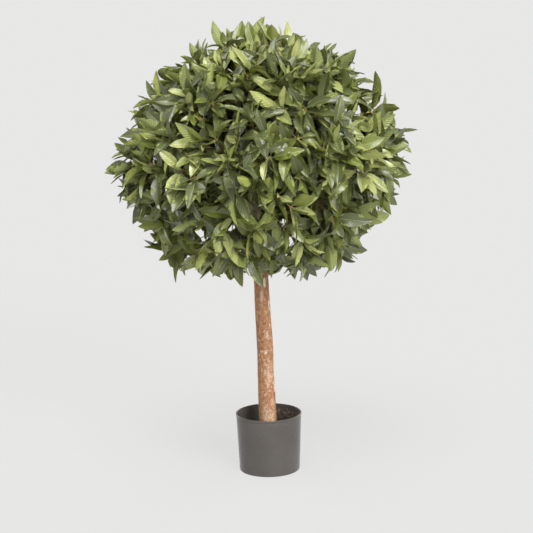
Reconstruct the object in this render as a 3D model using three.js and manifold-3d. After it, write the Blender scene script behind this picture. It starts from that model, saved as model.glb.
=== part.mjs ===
// An artificial standard bay: a ball of bay foliage on a natural-wood stem, set in a plain round plastic pot.
// Millimetres, +Z up. The origin is the centre of the pot's flat underside.
import * as THREE from "three";
import { mergeVertices } from "three/addons/utils/BufferGeometryUtils.js";
import Module from "manifold-3d";

const wasm = await Module();
wasm.setup();

// ---- driving dimensions -------------------------------------------------------------------------

const OVERALL_HEIGHT = 1200;
const CLEARANCE = 0.3; // between pieces that touch

const POT = {
  height: 157,
  rimRadius: 88,
  footRadius: 81.5,
  wall: 2.6,
  floor: 4,
  lipDepth: 6, // the slightly thicker band round the rim
  lipProud: 0.8,
  edge: 1, // the rim's rounded-over edge
  footChamfer: 2,
  segments: 48,
};
const FILLING_TOP = 112; // the set filling stops well below the rim

const TRUNK = {
  foot: 14, // its flat cut stands inside the filling
  tip: 912, // sawn off in the heart of the crown
  footRadius: 24,
  tipRadius: 16,
  flare: 2.5, // extra radius at the foot, mostly gone a hand's breadth up
  flareHeight: 90,
  bumps: 0.7, // how far the bark stands out and falls in
  ripples: 9, // bumps along the stem
  sides: 16,
  steps: 17,
};
// The middle of the stem wanders from the pot's axis: it bows a little and leans towards -X.
const TRUNK_BOW = [
  new THREE.Vector3(0, 0, TRUNK.foot),
  new THREE.Vector3(-2.5, 1, 150),
  new THREE.Vector3(-5, 3, 250),
  new THREE.Vector3(-5.5, 3, 340),
  new THREE.Vector3(-11, -1, 480),
  new THREE.Vector3(-12.5, -3, 600),
  new THREE.Vector3(-10, 0, TRUNK.tip),
];

const CROWN = {
  centre: new THREE.Vector3(-8, 0, 832), // the level where the ball is widest
  halfWidth: 402,
  lowest: 508,
  roundnessAbove: 2, // an exponent of 2 is an ellipse, and more is fuller at the shoulder
  roundnessBelow: 2.2,
};
// A mass is an uneven lens. Its middle, half-width and flat inner face are shares of the crown's radius.
const MASS = {
  middle: 0.66,
  halfWidth: 0.45,
  innerFace: 0.42, // inside this the heart of the crown is bare wood
  unevenness: 0.11, // how far its hollows fall in, as a share of its own size
  ripples: 1.8,
  apart: 5, // between one mass and the next
  detail: 4, // subdivisions of the icosahedron that a mass starts from
};
const STEM_SPACE = 36; // the lower masses keep this far from the crown's middle line

// The masses sit in rings. polar is a ring's angle from the top and twist its turn about the stem, degrees.
// reach says how far each mass stands out, and springs is the height where the ring's boughs leave the stem.
const RINGS = [
  { name: "top", polar: 0, twist: 0, reach: [1], springs: 900 },
  { name: "upper", polar: 46, twist: -54, reach: [1, 0.98, 1, 0.97, 0.99], springs: 850 },
  { name: "middle", polar: 86, twist: 4, reach: [1, 0.98, 0.99, 0.97, 0.98, 0.97, 0.97, 0.99], springs: 770 },
  { name: "lower", polar: 126, twist: 20, reach: [0.98, 0.96, 0.99, 0.97, 0.96], springs: 665 },
];
const SPRING_STAGGER = 11; // neighbouring boughs leave the stem this much above and below their level

const BOUGH = {
  rootRadius: 7,
  tipRadius: 4.5,
  rise: 0.35, // its slope where it leaves the stem
  outward: 55, // how far it holds that first direction
  arrive: 45, // how far it runs straight towards its mass
  sides: 7,
  steps: 4,
};

// ---- materials ----------------------------------------------------------------------------------

const plain = (color, roughness) => new THREE.MeshStandardMaterial({ color, roughness, metalness: 0 });
const MATERIALS = {
  pot: plain("#65625f", 0.5),
  filling: plain("#3a3531", 0.95),
  bark: plain("#a77b5f", 0.85),
  bough: plain("#94694c", 0.85),
  foliage: plain("#5d7340", 0.6),
};

// ---- shaping helpers ----------------------------------------------------------------------------

/** Smooth, repeatable unevenness between -1 and 1. */
function ripple(x, y, z) {
  const broad = Math.sin(1.7 * x + 2.3 * y + 0.4) * Math.cos(1.9 * z - 1.1 * x);
  const small = Math.sin(3.1 * y - 2.7 * z + 1.3) * Math.cos(2.9 * x + 1.7);
  return 0.6 * broad + 0.4 * small;
}

/** Moves every vertex of a geometry by place(vertex). */
function reshape(geometry, place) {
  const positions = geometry.attributes.position;
  const point = new THREE.Vector3();
  for (let i = 0; i < positions.count; i += 1) {
    point.fromBufferAttribute(positions, i);
    place(point);
    positions.setXYZ(i, point.x, point.y, point.z);
  }
  return geometry;
}

/** A limb along a curve, with flat ends. radiusAt takes a place along it, from 0 to 1, and an angle. */
function limb(curve, radiusAt, sides, steps) {
  const frames = curve.computeFrenetFrames(steps, false);
  return reshape(new THREE.CylinderGeometry(1, 1, 1, sides, steps), (point) => {
    const along = point.y + 0.5;
    const step = Math.round(along * steps);
    const angle = Math.atan2(point.z, point.x);
    const radius = Math.hypot(point.x, point.z) * radiusAt(along, angle);
    const side = frames.normals[step].clone().multiplyScalar(radius * Math.cos(angle));
    const up = frames.binormals[step].clone().multiplyScalar(-radius * Math.sin(angle));
    point.copy(curve.getPointAt(along)).add(side).add(up);
  });
}

/** A geometry as a manifold-3d solid, with its shared vertices merged. */
function solid(geometry) {
  const bare = geometry.clone();
  bare.deleteAttribute("normal");
  bare.deleteAttribute("uv");
  const merged = mergeVertices(bare, 1e-3);
  const mesh = new wasm.Mesh({
    numProp: 3,
    vertProperties: merged.attributes.position.array,
    triVerts: new Uint32Array(merged.index.array),
  });
  return new wasm.Manifold(mesh);
}

/** A manifold-3d solid as a geometry. */
function geometryOf(made) {
  const mesh = made.getMesh();
  const geometry = new THREE.BufferGeometry();
  geometry.setAttribute("position", new THREE.BufferAttribute(mesh.vertProperties, 3));
  geometry.setIndex(new THREE.BufferAttribute(mesh.triVerts, 1));
  return geometry;
}

/** The part of a solid on the side of a plane that its normal points to. */
function keepBeyond(made, normal, point) {
  return made.trimByPlane(normal.toArray(), normal.dot(point));
}

/** A solid of revolution about +Z from [radius, height] pairs that start and end on the axis. */
function turned(profile) {
  const points = profile.map(([radius, height]) => new THREE.Vector2(radius, height));
  return new THREE.LatheGeometry(points, POT.segments).rotateX(Math.PI / 2);
}

/** A level direction at an azimuth. */
const levelAt = (azimuth) => new THREE.Vector3(Math.cos(azimuth), Math.sin(azimuth), 0);

// ---- pot and filling ----------------------------------------------------------------------------

/** The pot's outer radius at a height: its wall leans out a little towards the rim. */
const potRadius = (height) => THREE.MathUtils.lerp(POT.footRadius, POT.rimRadius, height / POT.height);

function makePot() {
  const lipFoot = POT.height - POT.lipDepth;
  const rim = POT.rimRadius + POT.lipProud;
  return turned([
    [0, 0],
    [POT.footRadius - POT.footChamfer, 0],
    [potRadius(POT.footChamfer), POT.footChamfer],
    [potRadius(lipFoot), lipFoot],
    [rim, lipFoot + POT.lipProud],
    [rim, POT.height - POT.edge],
    [rim - POT.edge, POT.height],
    [POT.rimRadius - POT.wall, POT.height],
    [potRadius(POT.floor) - POT.wall, POT.floor],
    [0, POT.floor],
  ]);
}

function makeFilling(trunkSpace) {
  const inside = (height) => potRadius(height) - POT.wall - 2 * CLEARANCE;
  const bottom = POT.floor + CLEARANCE;
  const plug = turned([
    [0, bottom],
    [inside(bottom), bottom],
    [inside(FILLING_TOP), FILLING_TOP],
    [0, FILLING_TOP],
  ]);
  return geometryOf(solid(plug).subtract(trunkSpace));
}

// ---- trunk --------------------------------------------------------------------------------------

const trunkCurve = new THREE.CatmullRomCurve3(TRUNK_BOW);

/** The stem's radius: a slight flare, a long taper, and the bumps of a natural pole. */
function trunkRadius(along, angle) {
  const taper = THREE.MathUtils.lerp(TRUNK.footRadius, TRUNK.tipRadius, along);
  const flare = TRUNK.flare * Math.exp((-along * (TRUNK.tip - TRUNK.foot)) / TRUNK.flareHeight);
  const bump = TRUNK.bumps * ripple(Math.cos(angle), Math.sin(angle), TRUNK.ripples * along);
  return taper + flare + bump;
}

/** The stem, or with extra radius the space that other pieces leave for it. */
function makeTrunk(extra) {
  return limb(trunkCurve, (along, angle) => trunkRadius(along, angle) + extra, TRUNK.sides, TRUNK.steps);
}

/** The point on the stem's middle line at a height, found by halving. */
function trunkAt(height) {
  let below = 0;
  let above = 1;
  while (above - below > 1e-6) {
    const middle = (below + above) / 2;
    if (trunkCurve.getPointAt(middle).z < height) below = middle;
    else above = middle;
  }
  return trunkCurve.getPointAt(below);
}

// ---- crown --------------------------------------------------------------------------------------

/** The distance from the crown's centre to its outline in a unit direction. */
function crownRadius(direction) {
  const above = direction.z >= 0;
  const height = above ? OVERALL_HEIGHT - CROWN.centre.z : CROWN.centre.z - CROWN.lowest;
  const power = above ? CROWN.roundnessAbove : CROWN.roundnessBelow;
  const across = Math.hypot(direction.x, direction.y) / CROWN.halfWidth;
  return (across ** power + (Math.abs(direction.z) / height) ** power) ** (-1 / power);
}

/** Where each mass lies, seen from the crown's centre, and the height where its bough springs. */
function layOutMasses() {
  return RINGS.flatMap((ring) =>
    ring.reach.map((share, i) => {
      const azimuth = THREE.MathUtils.degToRad(ring.twist + (360 * i) / ring.reach.length);
      const polar = THREE.MathUtils.degToRad(ring.polar);
      const direction = levelAt(azimuth).multiplyScalar(Math.sin(polar)).setZ(Math.cos(polar));
      const radius = crownRadius(direction);
      return {
        label: ring.reach.length > 1 ? `${ring.name}_${i + 1}` : ring.name,
        direction,
        azimuth,
        radius,
        reach: share * radius,
        middle: CROWN.centre.clone().addScaledVector(direction, MASS.middle * radius),
        springs: ring.springs + (i % 2 ? SPRING_STAGGER : -SPRING_STAGGER),
      };
    }),
  );
}

/** A point that lies a share of the crown's radius out from its centre, towards a mass. */
function towards(mass, share, extra = 0) {
  return CROWN.centre.clone().addScaledVector(mass.direction, share * mass.radius + extra);
}

/** An uneven lens that reaches the crown's outline, cut flat at its neighbours, the stem and the heart. */
function makeMass(mass, masses) {
  const depth = mass.reach - MASS.middle * mass.radius;
  const halfWidth = MASS.halfWidth * mass.radius;
  const turn = new THREE.Quaternion().setFromUnitVectors(new THREE.Vector3(0, 0, 1), mass.direction);
  const lens = reshape(new THREE.IcosahedronGeometry(1, MASS.detail), (point) => {
    const place = point.clone().add(mass.direction).multiplyScalar(MASS.ripples);
    const hollow = Math.min(0, ripple(place.x, place.y, place.z));
    point.multiplyScalar(1 + MASS.unevenness * hollow);
    point.multiply(new THREE.Vector3(halfWidth, halfWidth, depth));
    point.applyQuaternion(turn).add(mass.middle);
  });
  let made = solid(lens);
  for (const other of masses.filter((each) => each !== mass)) {
    const inwards = mass.middle.clone().sub(other.middle).normalize();
    const border = mass.middle.clone().lerp(other.middle, 0.5).addScaledVector(inwards, MASS.apart / 2);
    made = keepBeyond(made, inwards, border);
  }
  made = keepBeyond(made, mass.direction, towards(mass, MASS.innerFace));
  if (mass.direction.z < 0) {
    const outwards = levelAt(mass.azimuth);
    made = keepBeyond(made, outwards, CROWN.centre.clone().addScaledVector(outwards, STEM_SPACE));
  }
  return geometryOf(made);
}

/** A bough runs from the stem to the flat inner face of its mass and meets it square. */
function makeBough(mass, trunkSpace) {
  const root = trunkAt(mass.springs);
  const tip = towards(mass, MASS.innerFace, -CLEARANCE);
  const straightUp = mass.direction.z === 1;
  const leaving = straightUp ? mass.direction : levelAt(mass.azimuth).setZ(BOUGH.rise).normalize();
  const curve = new THREE.CubicBezierCurve3(
    root,
    root.clone().addScaledVector(leaving, BOUGH.outward),
    tip.clone().addScaledVector(mass.direction, -BOUGH.arrive),
    tip,
  );
  const radiusAt = (along) => THREE.MathUtils.lerp(BOUGH.rootRadius, BOUGH.tipRadius, along);
  return geometryOf(solid(limb(curve, radiusAt, BOUGH.sides, BOUGH.steps)).subtract(trunkSpace));
}

// ---- assembly -----------------------------------------------------------------------------------

const part = new THREE.Group();

function add(name, geometry, material) {
  const mesh = new THREE.Mesh(geometry, material);
  mesh.name = name;
  part.add(mesh);
}

const trunkSpace = solid(makeTrunk(CLEARANCE));
const masses = layOutMasses();

add("pot", makePot(), MATERIALS.pot);
add("pot_filling", makeFilling(trunkSpace), MATERIALS.filling);
add("trunk", makeTrunk(0), MATERIALS.bark);
for (const mass of masses) {
  add(`bough_${mass.label}`, makeBough(mass, trunkSpace), MATERIALS.bough);
  add(`foliage_${mass.label}`, makeMass(mass, masses), MATERIALS.foliage);
}

export default part;
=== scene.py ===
"""The looks of an artificial standard bay: a ball of bay sprays on a natural-wood stem, set in a plastic pot.

Everything is in metres, +Z up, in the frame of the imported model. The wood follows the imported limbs, and each
packed mass of foliage is replaced by twigs and sprays of leaves that grow on from the bough that carries it.
"""

import math

import bpy
import numpy as np
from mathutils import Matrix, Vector, noise
from mathutils.bvhtree import BVHTree


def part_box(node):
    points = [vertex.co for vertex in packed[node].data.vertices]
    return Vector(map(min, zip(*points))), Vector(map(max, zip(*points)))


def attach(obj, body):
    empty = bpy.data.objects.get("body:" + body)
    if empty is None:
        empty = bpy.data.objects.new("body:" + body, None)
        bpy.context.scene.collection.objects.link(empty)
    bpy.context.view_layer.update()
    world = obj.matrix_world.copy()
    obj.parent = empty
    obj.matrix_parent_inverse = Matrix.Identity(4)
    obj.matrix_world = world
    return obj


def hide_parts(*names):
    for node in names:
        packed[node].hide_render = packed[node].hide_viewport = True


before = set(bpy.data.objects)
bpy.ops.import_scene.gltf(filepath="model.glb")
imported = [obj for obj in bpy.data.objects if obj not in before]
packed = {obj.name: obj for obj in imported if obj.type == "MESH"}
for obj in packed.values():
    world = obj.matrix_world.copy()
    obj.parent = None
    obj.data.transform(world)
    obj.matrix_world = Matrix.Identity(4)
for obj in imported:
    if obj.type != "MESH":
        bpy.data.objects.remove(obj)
scene = bpy.context.scene
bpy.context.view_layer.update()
MM = 0.001
SEED = 11
GOLDEN_ANGLE = math.pi * (3 - math.sqrt(5))
UP = np.array([0.0, 0.0, 1.0])
EYE = np.array([0.0032, -3.868, 1.285])  # the camera: nearly four metres away, a little above the crown

rng = np.random.default_rng(SEED)
MASSES = sorted(name.removeprefix("foliage_") for name in packed if name.startswith("foliage_"))


# ---- nodes and colours ----


def linear(colour):
    """An sRGB hex colour as linear RGBA."""
    parts = [int(colour[i : i + 2], 16) / 255 for i in (1, 3, 5)]
    return (*(c / 12.92 if c <= 0.04045 else ((c + 0.055) / 1.055) ** 2.4 for c in parts), 1.0)


def feed(tree, made, inputs):
    """Fills a node's inputs with plain values, or links other nodes or their outputs to them."""
    for name, value in inputs.items():
        value = value.outputs[0] if isinstance(value, bpy.types.Node) else value
        if isinstance(value, bpy.types.NodeSocket):
            tree.links.new(value, made.inputs[name])
        else:
            made.inputs[name].default_value = value


def node(tree, kind, inputs, settings=None, stops=()):
    """Adds a shader node. The stops of a colour ramp are pairs of a position and an sRGB hex colour, and they
    take the place of its black and white ones."""
    made = tree.nodes.new("ShaderNode" + kind)
    for name, value in (settings or {}).items():
        setattr(made, name, value)
    feed(tree, made, inputs)
    if stops:
        ramp = made.color_ramp.elements
        for position, colour in stops:
            ramp.new(position).color = linear(colour)
        ramp.remove(ramp[-1])
        ramp.remove(ramp[0])
    return made


def material(name):
    """A new material, and its node tree."""
    made = bpy.data.materials.new(name)
    made.use_nodes = True
    return made, made.node_tree


def solid_material(name):
    """A new material whose patterns run through the solid, its node tree, and the place in the solid."""
    made, tree = material(name)
    return made, tree, node(tree, "TexCoord", {}).outputs["Object"]


def surface(made, colour, shine, relief, plain):
    """Feeds a material's shader. shine is a pattern, two levels of it and the roughness at each. relief is a
    pattern, its strength and its height, or nothing. The plain values go straight into their sockets."""
    tree = made.node_tree
    pattern, low, high, least, most = shine
    levels = {"Value": pattern, "From Min": low, "From Max": high, "To Min": least, "To Max": most}
    inputs = {"Base Color": colour, "Roughness": node(tree, "MapRange", levels), **plain}
    if relief:
        pattern, strength, height = relief
        inputs["Normal"] = node(tree, "Bump", {"Height": pattern, "Strength": strength, "Distance": height})
    feed(tree, tree.nodes["Principled BSDF"], inputs)
    return made


# ---- meshes ----


def piece(name, points, faces, materials, slots=None, maps=None, floats=None):
    """A mesh object from arrays. faces holds one array for each number of corners, and slots follows them."""
    mesh = bpy.data.meshes.new(name)
    corners = np.concatenate([f.ravel() for f in faces])
    sizes = np.concatenate([np.full(len(f), f.shape[1]) for f in faces])
    mesh.vertices.add(len(points))
    mesh.vertices.foreach_set("co", np.asarray(points, np.float32).ravel())
    mesh.loops.add(len(corners))
    mesh.loops.foreach_set("vertex_index", corners.astype(np.int32))
    mesh.polygons.add(len(sizes))
    mesh.polygons.foreach_set("loop_start", (np.cumsum(sizes) - sizes).astype(np.int32))
    mesh.polygons.foreach_set("use_smooth", np.ones(len(sizes), bool))
    if slots is not None:
        mesh.polygons.foreach_set("material_index", np.concatenate(slots).astype(np.int32))
    for each in materials:
        mesh.materials.append(each)
    for title, places in (maps or {}).items():
        layer = mesh.uv_layers.new(name=title)
        layer.data.foreach_set("uv", np.asarray(places, np.float32)[corners].ravel())
    for title, values in (floats or {}).items():
        layer = mesh.attributes.new(title, "FLOAT", "POINT")
        layer.data.foreach_set("value", np.asarray(values, np.float32))
    mesh.update(calc_edges=True)
    mesh.validate()
    made = bpy.data.objects.new(name, mesh)
    scene.collection.objects.link(made)
    return made


def unit(vectors):
    """Vectors at length 1, along the last axis."""
    vectors = np.asarray(vectors, float)
    return vectors / np.linalg.norm(vectors, axis=-1, keepdims=True)


def square_to(along, face):
    """The part of face that is square to along, at length 1."""
    return unit(face - np.sum(face * along, axis=-1, keepdims=True) * along)


def any_square_to(along):
    """Some unit vector square to along."""
    return square_to(along, UP if abs(along[2]) < 0.9 else np.array([1.0, 0.0, 0.0]))


def bezier(start, leaving, arriving, end, steps):
    """Points along a curve that leaves start and arrives at end in the given directions."""
    reach = np.linalg.norm(end - start) / 3
    t = np.linspace(0, 1, steps + 1)[:, None]
    first = start + leaving * reach
    second = end - arriving * reach
    return (1 - t) ** 3 * start + 3 * (1 - t) ** 2 * t * first + 3 * (1 - t) * t**2 * second + t**3 * end


def turns(sides):
    """The angles of evenly spaced places round a ring."""
    return np.arange(sides) * 2 * math.pi / sides


def circle(sides):
    """Evenly spaced points on the unit circle round +Z."""
    angles = turns(sides)
    return np.column_stack([np.cos(angles), np.sin(angles), np.zeros(sides)])


def spokes(line, sides):
    """Directions square to a line, evenly round each of its points and turned as little as can be."""
    ahead = unit(np.gradient(line, axis=0))
    side = [any_square_to(ahead[0])]
    for direction in ahead[1:]:
        side.append(square_to(direction, side[-1]))
    side = np.array(side)
    other = np.cross(ahead, side)
    angles = turns(sides)[None, :, None]
    return np.cos(angles) * side[:, None] + np.sin(angles) * other[:, None]


def ring_faces(sides, steps, start=0):
    """The quads round a row of rings, and the fans that close its ends on the two points after the rings."""
    here = np.arange(sides)
    beside = (here + 1) % sides
    rows = np.arange(steps)[:, None] * sides
    quads = np.stack([here + rows, beside + rows, beside + rows + sides, here + rows + sides], -1)
    last = (steps + 1) * sides
    foot = np.stack([beside, here, np.full(sides, last)], -1)
    tip = np.stack([here + steps * sides, beside + steps * sides, np.full(sides, last + 1)], -1)
    return quads.reshape(-1, 4) + start, np.concatenate([foot, tip]) + start


class Tubes:
    """Closed tubes gathered into one mesh."""

    def __init__(self):
        self.points, self.quads, self.fans = [], [], []
        self.count = 0

    def add_rings(self, rings):
        """A tube through rings of points, closed by a cap at both ends."""
        steps, sides = len(rings) - 1, len(rings[0])
        self.points += [rings.reshape(-1, 3), rings[:1].mean(axis=1), rings[-1:].mean(axis=1)]
        quads, fans = ring_faces(sides, steps, self.count)
        self.quads.append(quads)
        self.fans.append(fans)
        self.count += (steps + 1) * sides + 2

    def add(self, line, radii, sides):
        """A round tube along a line, with a radius at each of its points."""
        line = np.asarray(line, float)
        self.add_rings(line[:, None] + spokes(line, sides) * radii[:, None, None])

    def piece(self, name, materials, **more):
        """All the tubes as one mesh object."""
        faces = [np.concatenate(self.quads), np.concatenate(self.fans)]
        return piece(name, np.concatenate(self.points), faces, materials, **more)


def finish_piece(made, slot, *nodes):
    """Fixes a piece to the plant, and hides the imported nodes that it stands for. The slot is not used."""
    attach(made, "root")
    if nodes:
        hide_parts(*nodes)


# ---- materials ----

# Printed polyester leaf, hot-pressed and coated with soft vinyl: a satin gloss over faint pressed veins. Each
# family has its upper side, its duller underside and the midrib, which is printed paler.
LEAF_FAMILIES = {
    "deep": ("#50582B", "#848C4B", "#7C864E"),
    "bottle": ("#545C34", "#868F58", "#808B60"),
    "mid": ("#6B7632", "#929A50", "#959D54"),
    "olive": ("#838C4C", "#A0A762", "#A8AF6A"),
    "lime": ("#9CA361", "#AFB673", "#BEC483"),
    # Dealt to the inner sprays: a browner print, darker underneath, that paints the shade deep in the ball.
    "shaded_inner": ("#564F2A", "#6E6735", "#6C653A"),
}
LEAF_MAP = "OFBake"  # each leaf lies in one cell of this map, so leaves in the same cell share one pattern
BLADE_MAP = "blade"  # across the leaf from -1 to 1, and along it from 0 to 1
CELLS = 4  # cells along each side of the map
LEAF_LENGTH = 90 * MM  # of a large leaf, which fills its cell
VEIN_GAP = 7.5 * MM  # between one side vein and the next
VEIN_SLANT = 0.16  # of the leaf's length, from the midrib out to the margin
COAT_PATCH = 16 * MM  # the coat pools in patches about this wide


def leaf_material(name, colour, roughness, relief, coat_weight):
    """One side of the leaf: the side veins are pressed in, and the coat is a little uneven."""
    made, tree = material(name)
    blade = node(tree, "UVMap", {}, {"uv_map": BLADE_MAP})
    cell = node(tree, "UVMap", {}, {"uv_map": LEAF_MAP})
    place = node(tree, "SeparateXYZ", {0: blade})
    outwards = node(tree, "Math", {0: place.outputs["X"]}, {"operation": "ABSOLUTE"})
    slope = node(tree, "Math", {0: outwards, 1: VEIN_SLANT}, {"operation": "MULTIPLY"})
    level = node(tree, "Math", {0: place.outputs["Y"], 1: slope}, {"operation": "SUBTRACT"})
    phase = node(tree, "Math", {0: level, 1: math.pi * LEAF_LENGTH / VEIN_GAP}, {"operation": "MULTIPLY"})
    wave = node(tree, "Math", {0: phase}, {"operation": "SINE"})
    vein = node(tree, "Math", {0: wave, 1: 4.0}, {"operation": "POWER"})
    coat = node(tree, "TexNoise", {"Vector": cell, "Scale": CELLS * LEAF_LENGTH / COAT_PATCH, "Detail": 2.0})
    height = node(tree, "Math", {0: coat, 1: 0.5, 2: vein}, {"operation": "MULTIPLY_ADD"})
    shine = (coat, 0.3, 0.7, roughness - 0.07, roughness + 0.09)
    plain = {"IOR": 1.46, "Coat Weight": coat_weight, "Coat Roughness": 0.27}
    return surface(made, linear(colour), shine, (height, relief, 1.1 * MM), plain)


def leaf_materials():
    """Upper side, underside and midrib of every family, in the order that the leaf's slots use."""
    made = []
    for family, (upper, under, rib) in LEAF_FAMILIES.items():
        gloss = 0.3 if family == "shaded_inner" else 1.0
        made.append(leaf_material(f"vinyl_coated_leaf_{family}_upper", upper, 0.4, 1.0, gloss))
        made.append(leaf_material(f"polyester_leaf_{family}_underside", under, 0.6, 1.0, 0.0))
        made.append(leaf_material(f"pressed_midrib_{family}", rib, 0.5, 0.3, 0.0))
    return made


def stalk_material():
    """Polyethylene leaf stalk, moulded in yellow-green: waxy, and a little mottled."""
    made, tree, where = solid_material("polyethylene_leaf_stalk")
    mottle = node(tree, "TexNoise", {"Vector": where, "Scale": 1 / (11 * MM)})
    colour = node(tree, "ValToRGB", {0: mottle}, stops=[(0.35, "#97984F"), (0.6, "#BDB871")])
    return surface(made, colour, (mottle, 0, 1, 0.38, 0.6), (mottle, 0.3, 0.3 * MM), {"IOR": 1.5})


def twig_material():
    """Paper-wrapped wire twig: dull olive brown, blotched, with the wrap's uneven surface."""
    made, tree, where = solid_material("paper_wrapped_twig")
    blotch = node(tree, "TexNoise", {"Vector": where, "Scale": 1 / (16 * MM), "Detail": 4.0})
    stops = [(0.3, "#4B4029"), (0.5, "#6B5B3A"), (0.72, "#8F7A4E")]
    colour = node(tree, "ValToRGB", {0: blotch}, stops=stops)
    return surface(made, colour, (blotch, 0, 1, 0.6, 0.85), (blotch, 0.5, 0.5 * MM), {"IOR": 1.45})


def bud_material():
    """Moulded polyethylene bud: a smooth salmon tan knob where the leaves of a spray meet."""
    made, tree, where = solid_material("polyethylene_bud")
    blush = node(tree, "TexNoise", {"Vector": where, "Scale": 1 / (7 * MM)})
    stops = [(0.35, "#A9764B"), (0.5, "#C99470"), (0.68, "#D9B48E")]
    colour = node(tree, "ValToRGB", {0: blush}, stops=stops)
    return surface(made, colour, (blush, 0, 1, 0.4, 0.6), None, {"IOR": 1.5})


def bark_material(name, tints):
    """Smooth natural bark: red-brown skin, rubbed in places to the pale wood, with rust specks and pits. The
    pale wood colour also paints highlights on the stem's lit right edge.
    """
    made, tree, where = solid_material(name)
    bare_and_highlight = node(tree, "Attribute", {}, {"attribute_name": "bare_and_highlight"}).outputs["Fac"]
    pits = node(tree, "Attribute", {}, {"attribute_name": "pits"}).outputs["Fac"]
    # Bark grows in lengthwise fibres, so its patterns are drawn out a little along the stem.
    drawn_out = node(tree, "Mapping", {"Vector": where, "Scale": (1.0, 1.0, 0.55)})
    size = 1 / (6.7 * MM)
    skin = node(tree, "TexNoise", {"Vector": drawn_out, "Scale": size, "Detail": 7.0, "Roughness": 0.75})
    fibre = node(tree, "TexNoise", {"Vector": drawn_out, "Scale": 1 / (2.4 * MM), "Detail": 3.0})
    speck = node(tree, "TexNoise", {"Vector": where, "Scale": 1 / (5.3 * MM)})
    rust = node(tree, "MapRange", {"Value": speck, "From Min": 0.66, "From Max": 0.74, "To Max": 0.6})
    colour = node(tree, "ValToRGB", {0: skin}, stops=tints["skin"])
    pale_wood = node(tree, "ValToRGB", {0: fibre}, stops=tints["wood"])
    # The pale wood colour goes where the wood is worn bare and where the stem's highlights are painted.
    for share, over in ((bare_and_highlight, pale_wood), (rust, linear(tints["speck"])), (pits, linear(tints["pit"]))):
        colour = node(tree, "Mix", {0: share, 6: colour, 7: over}, {"data_type": "RGBA"}).outputs[2]
    return surface(made, colour, (skin, 0, 1, 0.5, 0.8), (fibre, 0.5, 0.5 * MM), {"IOR": 1.45})


STEM_TINTS = {
    "skin": [(0.3, "#6A4530"), (0.42, "#875C40"), (0.5, "#996C4C"), (0.58, "#A77E5A"), (0.7, "#B99872")],
    "wood": [(0.3, "#C9A788"), (0.5, "#E0C8AC"), (0.7, "#F4E8D8")],
    "speck": "#C46A35",
    "pit": "#4E3324",
}
BOUGH_TINTS = {
    "skin": [(0.3, "#43311F"), (0.42, "#5E4830"), (0.6, "#7C6244"), (0.75, "#977B58")],
    "wood": [(0.3, "#C08C5E"), (0.55, "#D5A877"), (0.75, "#E5C79D")],
    "speck": "#B9622F",
    "pit": "#3F2A1D",
}


def sawn_wood_material():
    """Sawn end grain: pale, with growth rings."""
    made, tree, where = solid_material("sawn_end_grain")
    # Rings 2 mm apart: at scale 1 the node makes 20 radians of them to the metre.
    scale = 2 * math.pi / 20 / (2 * MM)
    pattern = {"Vector": where, "Scale": scale, "Distortion": 2.0, "Detail": 2.0}
    rings = node(tree, "TexWave", pattern, {"wave_type": "RINGS", "rings_direction": "Z"}).outputs["Fac"]
    colour = node(tree, "ValToRGB", {0: rings}, stops=[(0.2, "#B58A5F"), (0.8, "#D9B78C")])
    feed(tree, tree.nodes["Principled BSDF"], {"Base Color": colour, "IOR": 1.45, "Roughness": 0.8})
    return made


def pot_material(name, tones, roughness):
    """Injection-moulded polypropylene, warm dark grey, with a fine orange-peel skin and faint rub marks."""
    made, tree, where = solid_material(name)
    tone = node(tree, "TexNoise", {"Vector": where, "Scale": 1 / (70 * MM), "Detail": 5.0})
    colour = node(tree, "ValToRGB", {0: tone}, stops=[(0.35, tones[0]), (0.65, tones[1])])
    # The skin's waves are about 5 mm long, and rub marks are about 22 mm across.
    peel = node(tree, "TexNoise", {"Vector": where, "Scale": 1 / (5 * MM)})
    rub = node(tree, "TexNoise", {"Vector": where, "Scale": 1 / (22 * MM)})
    return surface(made, colour, (rub, 0.35, 0.7, *roughness), (peel, 0.15, 0.1 * MM), {"IOR": 1.49})


def filling_material(name, dryness):
    """Cement and dark peat stirred together and left to set: crumbly, dead matt, with paler grit."""
    made, tree, where = solid_material(name)
    clods = node(tree, "TexNoise", {"Vector": where, "Scale": 1 / (11 * MM), "Detail": 8.0, "Roughness": 0.7})
    grit = node(tree, "TexVoronoi", {"Vector": where, "Scale": 1 / (2.4 * MM)})
    peat = node(tree, "ValToRGB", {0: clods}, stops=[(0.3, "#1C1815"), (0.5, "#332C27"), (0.7, "#574B42")])
    levels = {"Value": grit, "From Min": 0.12, "From Max": 0.2, "To Min": 0.5, "To Max": 0.0}
    pale = node(tree, "MapRange", levels)
    dotted = node(tree, "Mix", {0: pale, 6: peat, 7: linear("#7A6D62")}, {"data_type": "RGBA"}).outputs[2]
    dried = node(tree, "HueSaturation", {"Color": dotted, "Value": dryness})
    return surface(made, dried, (clods, 0, 1, 0.85, 1.0), (clods, 0.9, 2 * MM), {"IOR": 1.45})


# ---- wood: the stem and its boughs ----

RING_GAP = 12 * MM  # points of one ring of a packed limb are nearer than this, and rings are further apart
BARK_RELIEF = 0.9 * MM
STEM_SIDES = 96
STEM_STEPS = 400
BOUGH_SIDES = 20
BOUGH_STEPS = 46
COLLAR = 1.5  # a bough swells by this where it joins the stem
COLLAR_LENGTH = 0.3  # of the bough
COLLAR_DEPTH = 9 * MM  # it runs this far into the stem


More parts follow.
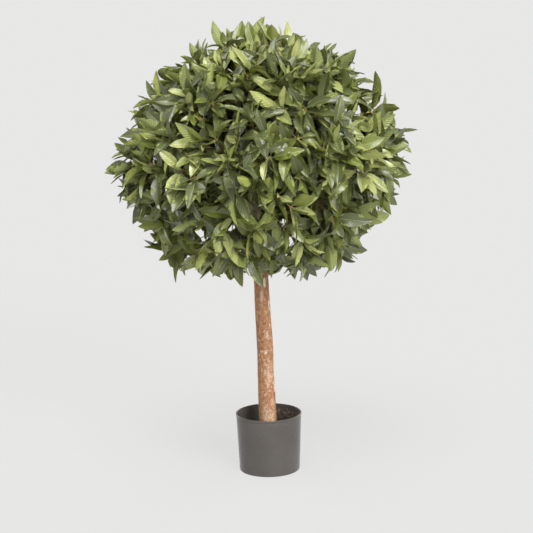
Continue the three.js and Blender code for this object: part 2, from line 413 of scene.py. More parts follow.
def limb_line(name, how_far):
    """The middle line and the radii of a packed limb, from the rings of points that it was built from, put in
    order by how_far."""
    points = np.unique(np.round([v.co for v in packed[name].data.vertices], 6), axis=0)
    near = np.linalg.norm(points[:, None] - points[None], axis=-1) < RING_GAP
    left = set(range(len(points)))
    rings = []
    while left:
        ring = {left.pop()}
        edge = set(ring)
        while edge:
            edge = {int(i) for i in np.flatnonzero(near[list(edge)].any(axis=0))} & left
            left -= edge
            ring |= edge
        # The middle of an end cap can stand alone.
        if len(ring) > 4:
            here = points[sorted(ring)]
            middle = here.mean(axis=0)
            rings.append((middle, np.linalg.norm(here - middle, axis=1).max()))
    rings.sort(key=lambda ring: how_far(ring[0]))
    return tuple(map(np.array, zip(*rings)))


def resampled(line, values, count):
    """A line and a value along it at evenly spaced places, rounded off between its points."""
    steps = np.r_[0, np.cumsum(np.linalg.norm(np.diff(line, axis=0), axis=1))]
    places = np.linspace(0, steps[-1], count)
    dense = np.column_stack([np.interp(places, steps, line[:, i]) for i in range(3)])
    # A running mean over one spacing takes the corners off.
    width = max(1, count // len(line))
    kernel = np.hanning(width + 2)[1:-1]
    kernel /= kernel.sum()
    padded = np.pad(dense, ((width, width), (0, 0)), mode="reflect", reflect_type="odd")
    smooth = np.column_stack([np.convolve(padded[:, i], kernel, "same") for i in range(3)])[width:-width]
    return smooth, np.interp(places, steps, values)


STEM_LINE, STEM_RADII = limb_line("trunk", lambda middle: middle[2])
STEM_PLACES, _ = resampled(STEM_LINE, STEM_RADII, 200)


def from_stem(point):
    """How far a point is from the middle line of the stem."""
    return np.linalg.norm(STEM_PLACES - point, axis=1).min()


def bough_line(label):
    """The middle line of a packed bough from the stem to its mass, with its radii."""
    line, radii = limb_line(f"bough_{label}", from_stem)
    # The stem cuts into the first rings, so they take their radii from the taper of the last two.
    taper = radii[-2] - radii[-1]
    radii[:-1] = radii[-1] + taper * np.arange(len(radii) - 1, 0, -1)
    return line, radii


def rough(points, size, octaves):
    """Smooth noise from -1 to 1 at each point: lumps of about this size, and finer, weaker ones over them."""
    return np.array([noise.fractal(Vector(p) / size, 1.0, 2.0, octaves) for p in points])


# Pale patches on the stem where its skin is rubbed off, and two narrow stripes on its lit right edge, at 232
# and 272 mm, which are painted highlights: each patch's height in mm and bearing in degrees, half of its length
# and of its width in mm, and how pale it is.
BARE_PATCHES_AND_HIGHLIGHTS = [
    (264, -66, 38, 10, 0.42), (232, -21, 16, 2.8, 2.4), (272, -14, 34, 3.5, 0.6), (330, -84, 5, 9, 0.6),
    (402, -38, 6, 3, 1.2), (456, -29, 14, 3.2, 1.4), (519, -64, 13, 3.4, 1.8), (372, -70, 16, 5, 0.4),
    (190, -52, 16, 6, 0.45), (150, -100, 26, 11, 0.45), (150, -55, 22, 9, 0.5), (480, -92, 20, 4.5, 0.4),
    (330, 75, 40, 8, 0.6), (240, 140, 36, 6, 0.8), (440, 170, 24, 3, 1.6), (460, 60, 30, 6, 0.5),
    (180, 100, 26, 9, 0.5),
]


def bare_and_highlight_mask(points, angles, radii):
    """How pale the stem is, from 0 to 1: the rubbed patches, small worn spots between, and the painted
    highlights on its lit right edge. A hard rub has a clean edge, and a light one crumbles away."""
    drawn_out = points * (1, 1, 0.8)
    crumbled = rough(drawn_out, 3.3 * MM, 3) + 0.5 * rough(drawn_out + 7, 8.3 * MM, 2)
    bare_and_highlight = np.clip((rough(points + 3, 6.7 * MM, 4) - 0.55) * 4, 0, 0.5)
    for height, bearing, half_length, half_width, paleness in BARE_PATCHES_AND_HIGHLIGHTS:
        turn = (angles - math.radians(bearing) + math.pi) % (2 * math.pi) - math.pi
        off = np.hypot((points[:, 2] / MM - height) / half_length, turn * radii / MM / half_width)
        patch = np.clip((1.2 - off + crumbled * min(1.2, 0.7 / paleness)) * 1.3, 0, 1)
        bare_and_highlight = np.maximum(bare_and_highlight, patch * paleness)
    return np.clip(bare_and_highlight, 0, 1)


def wooden_limb(line, radii, sides, steps, patches):
    """A limb with the relief of its bark: its rings of points, how pitted each point is, and how pale it is,
    where it is worn bare and, on the stem, where highlights are painted.
    """
    middle, radius = resampled(line, radii, steps + 1)
    outwards = spokes(middle, sides).reshape(-1, 3)
    radius = np.repeat(radius, sides)
    plain = np.repeat(middle, sides, axis=0) + outwards * radius[:, None]
    drawn_out = plain * (1, 1, 0.3)
    swell = rough(plain * (1, 1, 0.6), 45 * MM, 2)
    furrow = rough(drawn_out, 5.3 * MM, 4)
    pits = np.clip((rough(plain + 9, 3.8 * MM, 2) - 0.58) * 6, 0, 1)
    if patches:
        bare_and_highlight = bare_and_highlight_mask(plain, np.arctan2(outwards[:, 1], outwards[:, 0]), radius)
    else:
        bare_and_highlight = np.clip(rough(drawn_out, 8.3 * MM, 3) * 2 - 0.4, 0, 1)
    lift = BARK_RELIEF * (0.9 * swell + 0.35 * furrow * (1 - 0.7 * bare_and_highlight) - 0.5 * bare_and_highlight - 0.8 * pits)
    return plain + outwards * lift[:, None], bare_and_highlight, pits


def wooden_piece(name, limbs, materials):
    """Joins limbs, each given as (line, radii, sides, steps, patches), into one piece."""
    tubes = Tubes()
    bare_and_highlight, pits = [], []
    for line, radii, sides, steps, patches in limbs:
        skin, paleness, holes = wooden_limb(line, radii, sides, steps, patches)
        tubes.add_rings(skin.reshape(-1, sides, 3))
        bare_and_highlight += [paleness, np.ones(2)]
        pits += [holes, np.zeros(2)]
    slots = [np.zeros(sum(map(len, tubes.quads))), np.ones(sum(map(len, tubes.fans)))]
    floats = {"bare_and_highlight": np.concatenate(bare_and_highlight), "pits": np.concatenate(pits)}
    return tubes.piece(name, materials, slots=slots, floats=floats)


def make_wood():
    """The stem, and the boughs, whose swollen collars run into it. Returns the lines of the boughs."""
    sawn = sawn_wood_material()
    stem = [(STEM_LINE, STEM_RADII, STEM_SIDES, STEM_STEPS, True)]
    bark = bark_material("natural_bark_stem", STEM_TINTS)
    finish_piece(wooden_piece("stem_bark", stem, [bark, sawn]), "bark", "trunk")
    lines = {}
    boughs = []
    for label in MASSES:
        line, radii = bough_line(label)
        lines[label] = line
        line = np.vstack([line[0] + unit(line[0] - line[1]) * COLLAR_DEPTH, line])
        dense, wide = resampled(line, np.r_[radii[0], radii], 30)
        along = np.linspace(0, 1, len(dense))
        wide = wide * (1 + (COLLAR - 1) * np.clip(1 - along / COLLAR_LENGTH, 0, 1) ** 2)
        boughs.append((dense, wide, BOUGH_SIDES, BOUGH_STEPS, False))
    bark = bark_material("natural_bark_boughs", BOUGH_TINTS)
    made = wooden_piece("boughs_bark", boughs, [bark, sawn])
    finish_piece(made, "bough_wood", *(f"bough_{label}" for label in MASSES))
    return lines


# ---- crown: sprays, twigs and leaves ----

OUTER_SPRAYS = 380  # over the whole ball
INNER_SPRAYS = 110
INNER_DEPTH = 75 * MM
STEM_CLEAR = 60 * MM  # no spray is nearer to the stem than this under the ball
UNDERSIDE = -0.55  # below this the ball is thinly leaved, and open between the sprays
UNDERSIDE_GAPS = 0.35  # share of the sprays left out there
OVERSHOOT = (3 * MM, 22 * MM)  # how far the tips of a spray stand out of the outline
HANG_OUT = 34 * MM  # and how much further right under the ball
# Stray tufts that break the outline: the bearing of their tips as seen from the front, in degrees from +X up,
# and how many millimetres they are from the middle of the ball.
STRAYS = [
    (-175, 400), (171, 350), (108, 350), (78, 340), (6, 385), (0, 380), (19, 370), (44, 330), (-53, 385),
    (-64, 345), (-69, 290), (-77, 370), (-82, 320), (-96, 305), (-36, 365), (-109, 345), (-121, 365),
    (-131, 400), (-145, 375), (152, 350), (131, 335),
]
LEAF_REACH = 65 * MM  # how far ahead of its knot the leaves of a spray reach
SPRAY_INSET = 56 * MM  # the knot of a spray lies this far inside the outline, and its leaves reach it
SPRAY_DEPTH = 34 * MM  # and up to this much deeper
HANGING = 30 * MM  # deeper still under the ball, where the leaves hang
SPRAY_STEM = 85 * MM  # the leafy end of each spray
TWIG_RADIUS = 1.25 * MM
SPLIT_AT = 0.45  # a limb forks this share of the way to the sprays that it carries
UPTURN = 0.22  # how much sprays turn up, high on the ball
DROOP = -0.38  # and down, low on the ball
STRAYING = 0.33  # how far a spray's axis strays from its rule


def crown_outline():
    """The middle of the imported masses, and a function that says which mass a ray to it meets, and where."""
    points = []
    faces = []
    owner = []
    for label in MASSES:
        mesh = packed[f"foliage_{label}"].data
        start = len(points)
        points += [v.co.copy() for v in mesh.vertices]
        faces += [[start + i for i in p.vertices] for p in mesh.polygons]
        owner += [label] * len(mesh.polygons)
    tree = BVHTree.FromPolygons(points, faces)
    corners = np.array([list(p) for p in points])
    middle = (corners.min(axis=0) + corners.max(axis=0)) / 2

    def meets(direction):
        place, normal, face, _ = tree.ray_cast(Vector(middle + direction), Vector(-direction))
        if place is None:
            return None
        return owner[face], np.array(place), np.array(normal)

    return middle, meets


CROWN_MIDDLE, outline_at = crown_outline()


def mass_middle(label):
    """The middle of one packed mass of foliage."""
    return np.mean([list(corner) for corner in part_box(f"foliage_{label}")], axis=0)


def spray_axis(outwards, normal):
    """A spray grows outwards. High on the ball it turns up a little, and low on the ball it hangs."""
    lift = UPTURN if outwards[2] > -0.1 else DROOP
    axis = -outwards
    while axis @ outwards < 0.45:
        axis = unit(0.7 * outwards + 0.3 * normal + lift * UP + rng.normal(0, STRAYING, 3))
    return axis


def pull_inside(knot, tips, proud):
    """Where a spray's knot goes for its leaves to stand out of the crown's outline by no more than proud."""
    inwards = unit(CROWN_MIDDLE - knot)
    over = 0.0
    for tip in tips:
        met = outline_at(unit(tip - CROWN_MIDDLE))
        if met is not None:
            over = max(over, np.linalg.norm(tip - CROWN_MIDDLE) - np.linalg.norm(met[1] - CROWN_MIDDLE))
    return knot + inwards * max(0.0, over - proud)


def place_sprays():
    """The sprays of every mass: an outer layer, a sparser inner one that closes the depths, and strays."""
    sprays = {label: [] for label in MASSES}
    for count, deeper in ((OUTER_SPRAYS, 0), (INNER_SPRAYS, INNER_DEPTH)):
        for i in range(count):
            height = 1 - 2 * (i + 0.5) / count
            turn = i * GOLDEN_ANGLE
            flat = math.sqrt(1 - height * height)
            aim = np.array([flat * math.cos(turn), flat * math.sin(turn), height])
            depth = SPRAY_INSET + SPRAY_DEPTH * rng.random() ** 1.5 + HANGING * max(0, -height - 0.35)
            depth += deeper
            met = None
            while met is None:
                direction = unit(aim + rng.normal(0, 0.05, 3))
                met = outline_at(direction)
            label, place, normal = met
            if height < 0 and np.hypot(*(place - CROWN_MIDDLE)[:2]) < STEM_CLEAR:
                continue
            if height < UNDERSIDE and rng.random() < UNDERSIDE_GAPS:
                continue
            knot = place - unit(direction + 0.5 * normal) * depth
            proud = rng.uniform(*OVERSHOOT) + HANG_OUT * max(0, -height - 0.2)
            sprays[label].append(Spray(knot, spray_axis(direction, normal), proud, deeper > 0))
    for bearing, reach in STRAYS:
        turn = math.radians(bearing)
        direction = unit([math.cos(turn), rng.normal(-0.08, 0.12), math.sin(turn)])
        knot = CROWN_MIDDLE + direction * (reach * MM - LEAF_REACH)
        axis = unit(direction + rng.normal(0, 0.25, 3))
        nearest = min(MASSES, key=lambda label: np.linalg.norm(mass_middle(label) - knot))
        sprays[nearest].append(Spray(knot, axis, math.inf, False))
    return sprays


def grow(tubes, start, leaving, sprays, ends):
    """Seeded branching: a limb forks in two towards its sprays, until each has its own twig. The start,
    direction and spray of each of those twigs go into ends."""
    if len(sprays) == 1:
        ends.append((start, leaving, sprays[0]))
        return
    knots = np.array([spray.foot for spray in sprays])
    centre = knots.mean(axis=0)
    spread = np.linalg.svd(knots - centre)[2][0]
    order = np.argsort((knots - centre) @ spread)
    half = len(order) // 2 + int(rng.integers(0, 2)) * (len(order) % 2)
    for group in (order[:half], order[half:]):
        part = [sprays[i] for i in group]
        if len(part) == 1:
            grow(tubes, start, leaving, part, ends)
            continue
        goal = knots[group].mean(axis=0)
        share = SPLIT_AT + 0.1 * rng.random()
        fork = start + (goal - start) * share + rng.normal(0, 5 * MM, 3)
        arriving = unit(goal - start + rng.normal(0, 0.12, 3) * np.linalg.norm(goal - start))
        thick = TWIG_RADIUS * math.sqrt(len(part)) * np.linspace(1.12, 1.0, 7)
        tubes.add(bezier(start, leaving, arriving, fork, 6), thick, 7)
        grow(tubes, fork, arriving, part, ends)


# One row is one leaf: where its blade starts, the directions it points and faces, its size and shape.
SHAPE = ("length", "half_width", "bend", "sickle", "twist", "fold", "wave", "phase")
LEAF_ROW = [("base", float, 3), ("along", float, 3), ("face", float, 3)]
LEAF_ROW += [(name, float) for name in SHAPE] + [("family", int), ("cell", int)]
WIDTHS = (0.165, 0.2)  # half of a leaf's width, as a share of its length
BEND = (0.42, 0.34)  # radians that it bends from foot to tip: the mean and the spread
SICKLE = 0.1  # spread of how far its tip lies to one side, as a share of its length
TWIST = 0.3  # spread of the radians that it twists from foot to tip
FOLDS = (0.2, 0.55)  # radians that its halves stand up from the midrib
WAVES = (0.04, 0.2)  # how wavy its margin is, as a share of its half-width
FAMILIES = list(LEAF_FAMILIES)
# Each spray is dealt one scheme: the families of its old leaves, of its newer leaves and of its youngest.
SCHEMES = [
    (0.32, ("deep", "bottle", "mid")),
    (0.24, ("bottle", "deep", "olive")),
    (0.18, ("mid", "mid", "lime")),
    (0.16, ("deep", "mid", "lime")),
    (0.10, ("olive", "lime", "lime")),
]
# The inner layer takes the browner, darker family: painted shade in the depths of the ball.
INNER_SCHEME = ("shaded_inner", "shaded_inner", "deep")
ROSETTE = 6  # leaves round the knot of a spray
YOUNG = 2  # small leaves at its heart
STALK = 11 * MM
STALK_RADII = np.array([1.15, 0.95, 0.7]) * MM
TURNED = 0.06  # share of the leaves that are turned over


def leaf(start, axis, turn, spread, length, family):
    """One leaf: it leaves the stem at a spread angle from its axis, and droops a little. Returns its row, and
    where its stalk starts."""
    side = any_square_to(axis)
    other = np.cross(axis, side)
    sideways = side * math.cos(turn) + other * math.sin(turn)
    along = unit(axis * math.cos(spread) + sideways * math.sin(spread) - UP * 0.12 + rng.normal(0, 0.15, 3))
    face = square_to(along, axis + UP * 0.45 + rng.normal(0, 0.5, 3))
    if rng.random() < TURNED:
        face = -face
    stalk = STALK * (0.7 + 0.6 * rng.random())
    row = (
        start + along * stalk,
        along,
        face,
        length,
        length * rng.uniform(*WIDTHS),
        rng.normal(*BEND),
        rng.normal(0, SICKLE),
        rng.normal(0, TWIST),
        rng.uniform(*FOLDS),
        rng.uniform(*WAVES),
        rng.uniform(0, 2 * math.pi),
        FAMILIES.index(family),
        int(rng.integers(0, CELLS * CELLS)),
    )
    return row, start


class Spray:
    """Leaves down a stem, a rosette at its knot and young ones at its heart, all dealt one scheme."""

    def __init__(self, knot, axis, proud, inner):
        self.axis = axis
        self.knot = np.zeros(3)
        self.foot = -axis * SPRAY_STEM
        scheme = SCHEMES[int(rng.choice(len(SCHEMES), p=[share for share, _ in SCHEMES]))][1]
        scheme = INNER_SCHEME if inner else scheme
        self.leaves = [leaf(*where, family) for *where, family in self.plan(*scheme)]
        self.move(knot)
        tips = [row[0] + row[1] * row[3] for row, _ in self.leaves]
        self.move(pull_inside(knot, tips, proud) - knot)

    def plan(self, old, newer, young):
        """Each leaf's start, its axis, its turn round that and spread from it, its length and its family."""
        turn = rng.uniform(0, 2 * math.pi)
        openness = rng.uniform(0.62, 1.15)
        down_stem = int(rng.integers(2, 5))
        for i in range(down_stem):
            turn += GOLDEN_ANGLE
            place = self.foot * (0.75 - 0.55 * i / down_stem)
            yield place, self.axis, turn, rng.uniform(0.8, 1.35), rng.uniform(76, 98) * MM, old
        for i in range(ROSETTE):
            turn += GOLDEN_ANGLE
            step = i / (ROSETTE - 1)
            spread = math.radians(86 - 40 * step) * openness + rng.normal(0, 0.15)
            length = (93 - 22 * step + rng.normal(0, 6)) * MM
            yield self.knot, self.axis, turn, spread, length, old if step < 0.55 else newer
        for _ in range(YOUNG):
            turn += GOLDEN_ANGLE
            yield self.knot, self.axis, turn, rng.uniform(0.25, 0.6), rng.uniform(40, 62) * MM, young

    def move(self, step):
        """Shifts the whole spray."""
        self.knot = self.knot + step
        self.foot = self.foot + step
        self.leaves = [((row[0] + step, *row[1:]), stalk + step) for row, stalk in self.leaves]


STATIONS = np.array([0, 0.09, 0.24, 0.42, 0.6, 0.77, 0.91, 1.0])  # along the leaf
ACROSS = np.array([-1, -0.55, 0, 0, 0.55, 1.0])  # the two in the middle are the edges of the midrib
RIB = 0.75 * MM  # half-width of the midrib at the leaf's foot
THICK = 0.45 * MM
SUNK = 0.15 * MM  # the midrib lies this far below the upper side
RAISED = 0.35 * MM  # and stands out of the underside by this
RIPPLES = 1.6  # waves of the margin along the leaf
BARELY = 1e-6  # radians: the least bend, so that a flat leaf has one to divide by


def outline(v):
    """The half-width of a bay leaf along its length: pointed at both ends, widest just below the middle."""
    foot, tip = 0.8, 0.98
    shape = v**foot * (1 - v) ** tip
    return shape * (foot + tip) ** (foot + tip) / (foot**foot * tip**tip)


def bent(length, bend, along):
    """The angle of a bent blade at places along it, and how far it has run forward and drooped there."""
    angle = bend * along + BARELY
    whole = bend + BARELY
    return angle, length * np.sin(angle) / whole, length * (1 - np.cos(angle)) / whole


def blade_points(rows, under):
    """The points of one sheet of every leaf: (leaves, points, 3), with their places on the two maps."""
    length, half_width, bend, sickle, twist, fold, wave, phase = (rows[name][:, None] for name in SHAPE)
    v = STATIONS[1:-1]
    wide = outline(v)[None, :] * half_width
    rib = RIB * (1 - 0.7 * v)[None, :] * np.ones_like(wide)
    x = wide[..., None] * ACROSS
    x[..., 2] = -rib
    x[..., 3] = rib
    u = x / wide[..., None]
    z = np.abs(x) * np.tan(fold)[..., None]
    ripple = np.sin(2 * math.pi * RIPPLES * v[None, :, None] + phase[..., None] + 0.9 * np.sign(u))
    z = z + wave[..., None] * wide[..., None] * ripple * u**2
    if under:
        z = z - THICK * (1 - u**2)
    z[..., 2:4] -= RAISED if under else SUNK
    count = len(rows)
    ends = np.zeros((count, 1))
    x = np.concatenate([ends, x.reshape(count, -1), ends], axis=1)
    z = np.concatenate([ends, z.reshape(count, -1), ends], axis=1)
    along = np.concatenate([[0], np.repeat(v, len(ACROSS)), [1]])[None, :]
    angle, forward, droop = bent(length, bend, along)
    sweep = length * sickle * along**2
    roll = twist * along
    x, z = x * np.cos(roll) - z * np.sin(roll), x * np.sin(roll) + z * np.cos(roll)
    ahead = rows["along"][:, None, :]
    face = rows["face"][:, None, :]
    side = np.cross(ahead, face)
    tilted = face * np.cos(angle)[..., None] + ahead * np.sin(angle)[..., None]
    points = rows["base"][:, None] + ahead * forward[..., None] - face * droop[..., None]
    points = points + side * (x + sweep)[..., None] + tilted * z[..., None]
    flat_u = np.concatenate([[0], np.tile(ACROSS, len(v)), [0]])
    blade = np.broadcast_to(np.column_stack([flat_u, along[0]]), (count, len(flat_u), 2))
    # The upper side fills one half of the leaf's cell and the underside the other, with a gap between.
    cell = np.column_stack([rows["cell"] % CELLS, rows["cell"] // CELLS])[:, None, :]
    shift = 0.75 if under else 0.25
    local = np.column_stack([shift + 0.23 * flat_u, 0.02 + 0.96 * along[0]])[None]
    return points, blade, (cell + local) / CELLS


def sheet_faces(under):
    """The faces of one sheet, and which of them are midrib: triangles at the two ends and quads between."""
    wide = len(ACROSS)
    rows = len(STATIONS) - 2
    k = np.arange(wide - 1)
    starts = (1 + np.arange(rows - 1)[:, None] * wide + k).ravel()
    quads = np.stack([starts, starts + 1, starts + wide + 1, starts + wide], -1)
    tip_row = 1 + (rows - 1) * wide + k
    foot = np.stack([np.zeros_like(k), k + 2, k + 1], -1)
    tip = np.stack([tip_row, tip_row + 1, np.full_like(k, 1 + rows * wide)], -1)
    fans = np.concatenate([foot, tip])
    rib_quads = np.tile(k == 2, rows - 1)
    rib_fans = np.tile(k == 2, 2)
    if not under:
        quads, fans = quads[:, ::-1], fans[:, ::-1]
    return quads, fans, rib_quads, rib_fans


def leaves_piece(name, rows, materials):
    """All the leaves of one mass as one mesh, each of an upper and an under sheet that meet at the margin."""
    rows = np.array(rows, dtype=LEAF_ROW)
    sheets = []
    start = 0
    for under in (False, True):
        points, blades, cells = blade_points(rows, under)
        each = points.shape[1]
        offset = (start + np.arange(len(rows)) * each)[:, None, None]
        quads, fans, rib_quads, rib_fans = sheet_faces(under)
        # Each family has three slots: upper side, underside and midrib.
        rib = 3 * rows["family"][:, None] + 2
        blade = rib - (1 if under else 2)
        sheets.append([
            points.reshape(-1, 3),
            (quads + offset).reshape(-1, 4),
            (fans + offset).reshape(-1, 3),
            np.where(rib_quads, rib, blade).ravel(),
            np.where(rib_fans, rib, blade).ravel(),
            cells.reshape(-1, 2),
            blades.reshape(-1, 2),
        ])
        start += len(rows) * each
    points, quads, fans, quad_slots, fan_slots, cells, blades = map(np.concatenate, zip(*sheets))
    maps = {LEAF_MAP: cells, BLADE_MAP: blades}
    return piece(name, points, [quads, fans], materials, slots=[quad_slots, fan_slots], maps=maps)


BUD_PLACES = np.array([-0.35, -0.1, 0.25, 0.6, 1.0])  # along the bud, from the knot of its spray
BUD_RADII = np.array([1.2, 2.3, 2.4, 1.5, 0.25]) * MM


def bud(tubes, knot, axis):
    """A small pointed bud where the leaves of a spray meet."""
    length = rng.uniform(5, 8) * MM
    tubes.add(knot + BUD_PLACES[:, None] * axis * length, BUD_RADII * rng.uniform(0.85, 1.2), 7)


# Small gaps in the ball where the sky shows through: x and z on the upright plane through the stem.
SKY_GAPS = [
    (0.250, 0.960), (0.240, 0.810), (0.255, 0.745), (0.070, 0.630), (0.050, 0.680),
    (-0.085, 0.670), (-0.170, 0.655), (-0.275, 0.850), (-0.190, 1.085), (-0.075, 1.080),
]
SIGHT_LINES = unit([np.array([x, 0, z]) - EYE for x, z in SKY_GAPS])
GAP_CLEAR = 2.5 * MM  # from a sight line to the nearest edge of a leaf


def shuts_gap(row):
    """Whether a leaf lies across one of the gaps."""
    base, along, face, length, half_width, bend = row[:6]
    t = np.linspace(0, 1, 7)
    _, forward, droop = bent(length, bend, t)
    off = base + forward[:, None] * along - droop[:, None] * face - EYE
    away = np.sqrt(np.maximum(np.sum(off * off, axis=1)[:, None] - (off @ SIGHT_LINES.T) ** 2, 0))
    return (away < (GAP_CLEAR + half_width * outline(t))[:, None]).any()


def make_crown(lines):
    """Grows every mass on from its bough, and deals out the leaves."""
    twigs, stalks, buds = Tubes(), Tubes(), Tubes()
    materials = leaf_materials()
    sprays = place_sprays()
    for label in MASSES:
        line = lines[label]
        ends = []
        grow(twigs, line[-1], unit(line[-1] - line[-2]), sprays[label], ends)
        rows = []
        for start, leaving, spray in ends:
            twig = bezier(start, leaving, spray.axis, spray.foot, 6)
            twigs.add(twig, np.linspace(1.15, 1.0, 7) * TWIG_RADIUS, 6)
            shoot = np.linspace(spray.foot - spray.axis * 2 * MM, spray.knot, 4)
            stalks.add(shoot, np.linspace(1.0, 0.85, 4) * TWIG_RADIUS, 6)
            for row, foot in spray.leaves:
                if shuts_gap(row):
                    continue
                rows.append(row)
                base, along = row[:2]
                # The stalk sags a little, and runs on into the blade.
                stalks.add([foot, (foot + base) / 2 - UP * 0.8 * MM, base + along * 3 * MM], STALK_RADII, 4)
            bud(buds, spray.knot, spray.axis)
        finish_piece(leaves_piece(f"leaves_{label}", rows, materials), "foliage", f"foliage_{label}")
    finish_piece(twigs.piece("twigs", [twig_material()]), "bough_wood")
    finish_piece(stalks.piece("leaf_stalks", [stalk_material()]), "foliage")
    finish_piece(buds.piece("buds", [bud_material()]), "foliage")


# ---- pot and filling ----

POT_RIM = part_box("pot")[1].x
POT_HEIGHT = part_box("pot")[1].z
POT_FOOT = 81.5 * MM  # outer radius where the wall starts
POT_WALL = 2.6 * MM
POT_FLOOR = 4 * MM
POT_LIP = 0.8 * MM  # the rim stands out of the wall by this
POT_SIDES = 160
FILLING_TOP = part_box("pot_filling")[1].z


def wall_radius(height):
    """The outer radius of the pot's drafted wall."""
    return POT_FOOT + (POT_RIM - POT_LIP - POT_FOOT) * height / POT_HEIGHT


def turned(name, profile, materials, inside):
    """A solid of revolution from (radius, height) pairs. Bands from inside on take the second material."""
    tubes = Tubes()
    tubes.add_rings(np.array([circle(POT_SIDES) * r + UP * z for r, z in profile]))
    bands = np.repeat(np.arange(len(profile) - 1), POT_SIDES) >= inside
    return tubes.piece(name, materials, slots=[bands, np.repeat([0, 1], POT_SIDES)])


def arc(middle, radius, start, end, steps):
    """Points of a rounded corner on a profile, between two angles in degrees."""
    angles = np.radians(np.linspace(start, end, steps))
    return [(middle[0] + radius * math.cos(a), middle[1] + radius * math.sin(a)) for a in angles]


def make_pot():
    """The moulded pot: a rounded foot, a straight drafted wall, and a rolled lip over a shadow line."""
    band = POT_HEIGHT - 6 * MM  # where the lip starts
    corner = 1.6 * MM  # radius of the foot's corner
    edge = 1.1 * MM  # and of the lip's outer edge
    inner_edge = 0.9 * MM  # and of its inner edge
    profile = [(POT_FOOT - 1.5 * corner, 0)]
    profile += arc((POT_FOOT - corner, corner), corner, -60, 0, 4)
    profile += [(wall_radius(z), z) for z in np.linspace(1.5 * corner, band - 0.6 * MM, 12)]
    profile += [(wall_radius(POT_HEIGHT) - 0.5 * MM, band)]
    profile += arc((POT_RIM - POT_LIP, band + 1.0 * MM), POT_LIP, -60, 0, 4)
    profile += arc((POT_RIM - edge, POT_HEIGHT - edge), edge, 0, 90, 6)
    bore = wall_radius(POT_HEIGHT) - POT_WALL
    profile += arc((bore + inner_edge, POT_HEIGHT - inner_edge), inner_edge, 100, 180, 5)
    inside = len(profile)
    profile += [(wall_radius(z) - POT_WALL, z) for z in np.linspace(POT_HEIGHT - 5 * MM, POT_FLOOR, 10)]
    satin = pot_material("moulded_polypropylene", ("#484441", "#4E4A47"), (0.2, 0.3))
    # The inside takes a matt copy of the plastic in darker tones: painted shade inside the pot.
    inside_painted_shade = pot_material("matt_polypropylene_painted_shade", ("#3B3734", "#4A4541"), (0.55, 0.7))
    finish_piece(turned("pot_shell", profile, [satin, inside_painted_shade], inside), "pot_plastic", "pot")


SMEAR_BEARINGS = (-12, 88)  # degrees, from +X: the side of the wall where it lies
SMEAR_LOW = FILLING_TOP - 4 * MM
SMEAR_HIGH = POT_HEIGHT - 9 * MM
SMEAR_ACROSS = 110  # points across and up
SMEAR_UP = 44


def make_smear():
    """A thin crust of filling, left on the wall when the pot was filled: lumpy, thicker low down, and ragged
    at the edge, where its skin sinks into the wall."""
    across, up = SMEAR_ACROSS, SMEAR_UP
    azimuths = np.radians(np.linspace(*SMEAR_BEARINGS, across))
    azimuth, height = (grid.ravel() for grid in np.meshgrid(azimuths, np.linspace(SMEAR_LOW, SMEAR_HIGH, up)))
    wall = wall_radius(height) - POT_WALL
    outwards = np.column_stack([np.cos(azimuth), np.sin(azimuth), np.zeros(across * up)])
    lumps = rough(outwards * wall.mean() + height[:, None] * UP, 9 * MM, 5)
    rise = (height - SMEAR_LOW) / (SMEAR_HIGH - SMEAR_LOW)
    edge = np.minimum(np.minimum(azimuth - azimuths[0], azimuths[-1] - azimuth) / 0.35, (1 - rise) / 0.25)
    thick = ((2.2 * lumps + 2.2 + 2.0 * (1 - rise)) * np.clip(edge, 0, 1) - 0.8) * MM
    skin = outwards * (wall - thick)[:, None] + height[:, None] * UP
    behind = outwards * (wall + 1.5 * MM)[:, None] + height[:, None] * UP
    grid = np.arange(across * up).reshape(up, across)
    sheet = np.stack([grid[:-1, :-1], grid[1:, :-1], grid[1:, 1:], grid[:-1, 1:]], -1).reshape(-1, 4)
    rim = np.concatenate([grid[0], grid[1:, -1], grid[-1, -2::-1], grid[-2:0:-1, 0]])
    after = np.roll(rim, -1)
    border = np.stack([rim, after, after + grid.size, rim + grid.size], -1)
    faces = np.concatenate([sheet, sheet[:, ::-1] + grid.size, border])
    crust = filling_material("dried_peat_cement", 1.9)
    finish_piece(piece("filling_smear", np.vstack([skin, behind]), [faces], [crust]), "pot_filling")


FILLING_RINGS = 46
FILLING_SIDES = 150
FILLING_FOOT = 5 * MM  # its underside, just above the pot's floor
HEAP_BEARING = math.radians(35)  # from +X: where it is heaped against the wall
HEAP_WIDTH = 0.75  # radians
HEAP_HEIGHT = 14 * MM


def make_filling():
    """The set filling: a crumbly top, heaped against the wall on one side."""
    outer = circle(FILLING_SIDES) * (wall_radius(FILLING_TOP) - POT_WALL + 0.2 * MM)
    share = (np.arange(FILLING_RINGS) + 1) / FILLING_RINGS
    flat = (share[:, None, None] * outer).reshape(-1, 3)
    away = (turns(FILLING_SIDES) - HEAP_BEARING + math.pi) % (2 * math.pi) - math.pi
    heap = np.outer(np.clip((share - 0.45) / 0.55, 0, 1) ** 2, np.exp(-((away / HEAP_WIDTH) ** 2)))
    crumbs = rough(flat, 10.5 * MM, 5) * 3.2 * MM + rough(flat + 5, 3 * MM, 3) * 1.2 * MM
    top = flat + UP * (FILLING_TOP - 2 * MM + HEAP_HEIGHT * heap.ravel() + crumbs)[:, None]
    foot = outer * 0.94 + UP * FILLING_FOOT
    points = np.vstack([top, foot, [0, 0, FILLING_TOP], [0, 0, FILLING_FOOT]])
    # Its rings run outwards over the top and then down, so its faces turn the other way round.
    quads, fans = ring_faces(FILLING_SIDES, FILLING_RINGS)
    faces = [quads[:, [0, 3, 2, 1]], fans[:, [1, 0, 2]]]
    made = piece("set_filling", points, faces, [filling_material("peat_cement", 1.0)])
    finish_piece(made, "pot_filling", "pot_filling")


# ---- studio ----

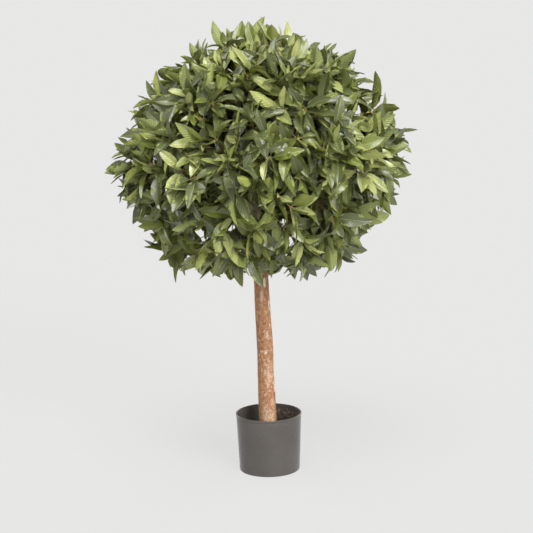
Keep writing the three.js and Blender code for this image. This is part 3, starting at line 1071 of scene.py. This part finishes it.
FLOOR_RADIUS = 400  # so that it runs out of sight on every side
FLOOR_SIDES = 96


def make_floor():
    """A pale seamless floor, lit a little from below so that shadows on it stay faint."""
    made, tree = material("matt_studio_paper")
    matt = {"Base Color": linear("#4F4F4F"), "Roughness": 1.0, "Specular IOR Level": 0.0}
    lit = {"Emission Color": linear("#FFFFFF"), "Emission Strength": 0.65}
    feed(tree, tree.nodes["Principled BSDF"], matt | lit)
    rim = FLOOR_RADIUS * circle(FLOOR_SIDES)
    here = np.arange(FLOOR_SIDES)
    fan = np.stack([here, (here + 1) % FLOOR_SIDES, np.full(FLOOR_SIDES, FLOOR_SIDES)], -1)
    piece("studio_floor", np.vstack([rim, [0, 0, 0]]), [fan], [made])


def soft_sun(name, towards, spread, strength):
    """A far, wide softbox: light from one direction, spread over an angle, that falls evenly on the floor."""
    data = bpy.data.lights.new(name, "SUN")
    data.angle = math.radians(spread)
    data.energy = strength
    made = bpy.data.objects.new(name, data)
    made.rotation_euler = Vector(towards).to_track_quat("-Z", "Y").to_euler()
    scene.collection.objects.link(made)


def make_light():
    """Plain soft studio light: a softbox overhead, a key from the right, two rims and white walls."""
    soft_sun("overhead", (0.05, 0.5, -1), 38, 3.25)
    soft_sun("key_right", (-0.9, 1.4, -0.8), 26, 2.6)
    soft_sun("front", (-0.2, 1.6, -0.2), 60, 0.5)
    soft_sun("rim_left", (1.15, -1.05, -0.25), 54, 2.0)
    soft_sun("rim_right", (-1.15, -1.05, -0.25), 54, 2.0)
    world = bpy.data.worlds.new("studio")
    world.use_nodes = True
    tree = world.node_tree
    # The walls give a dim, warm light. Seen straight on, above the floor, they are as pale as the floor.
    walls = node(tree, "Background", {"Color": linear("#F3EBD3"), "Strength": 0.42})
    backdrop = node(tree, "Background", {"Color": linear("#E6E6E5")})
    seen = node(tree, "LightPath", {}).outputs["Is Camera Ray"]
    both = node(tree, "MixShader", {0: seen, 1: walls, 2: backdrop})
    feed(tree, tree.nodes["World Output"], {"Surface": both})
    scene.world = world
    scene.view_settings.view_transform = "Standard"


LOOKS_DOWN = 10.64  # degrees
LEANS = 1.3  # degrees


def make_camera():
    """A 100 mm lens, looking slightly down and held a degree off level."""
    data = bpy.data.cameras.new("camera")
    data.lens = 100
    data.sensor_width = 36
    data.clip_end = 1000
    made = bpy.data.objects.new("camera", data)
    made.location = EYE
    made.rotation_mode = "ZXY"
    made.rotation_euler = (math.radians(90 - LOOKS_DOWN), 0, math.radians(-LEANS))
    scene.collection.objects.link(made)
    scene.camera = made


make_camera()
make_floor()
make_light()
make_pot()
make_filling()
make_smear()
make_crown(make_wood())
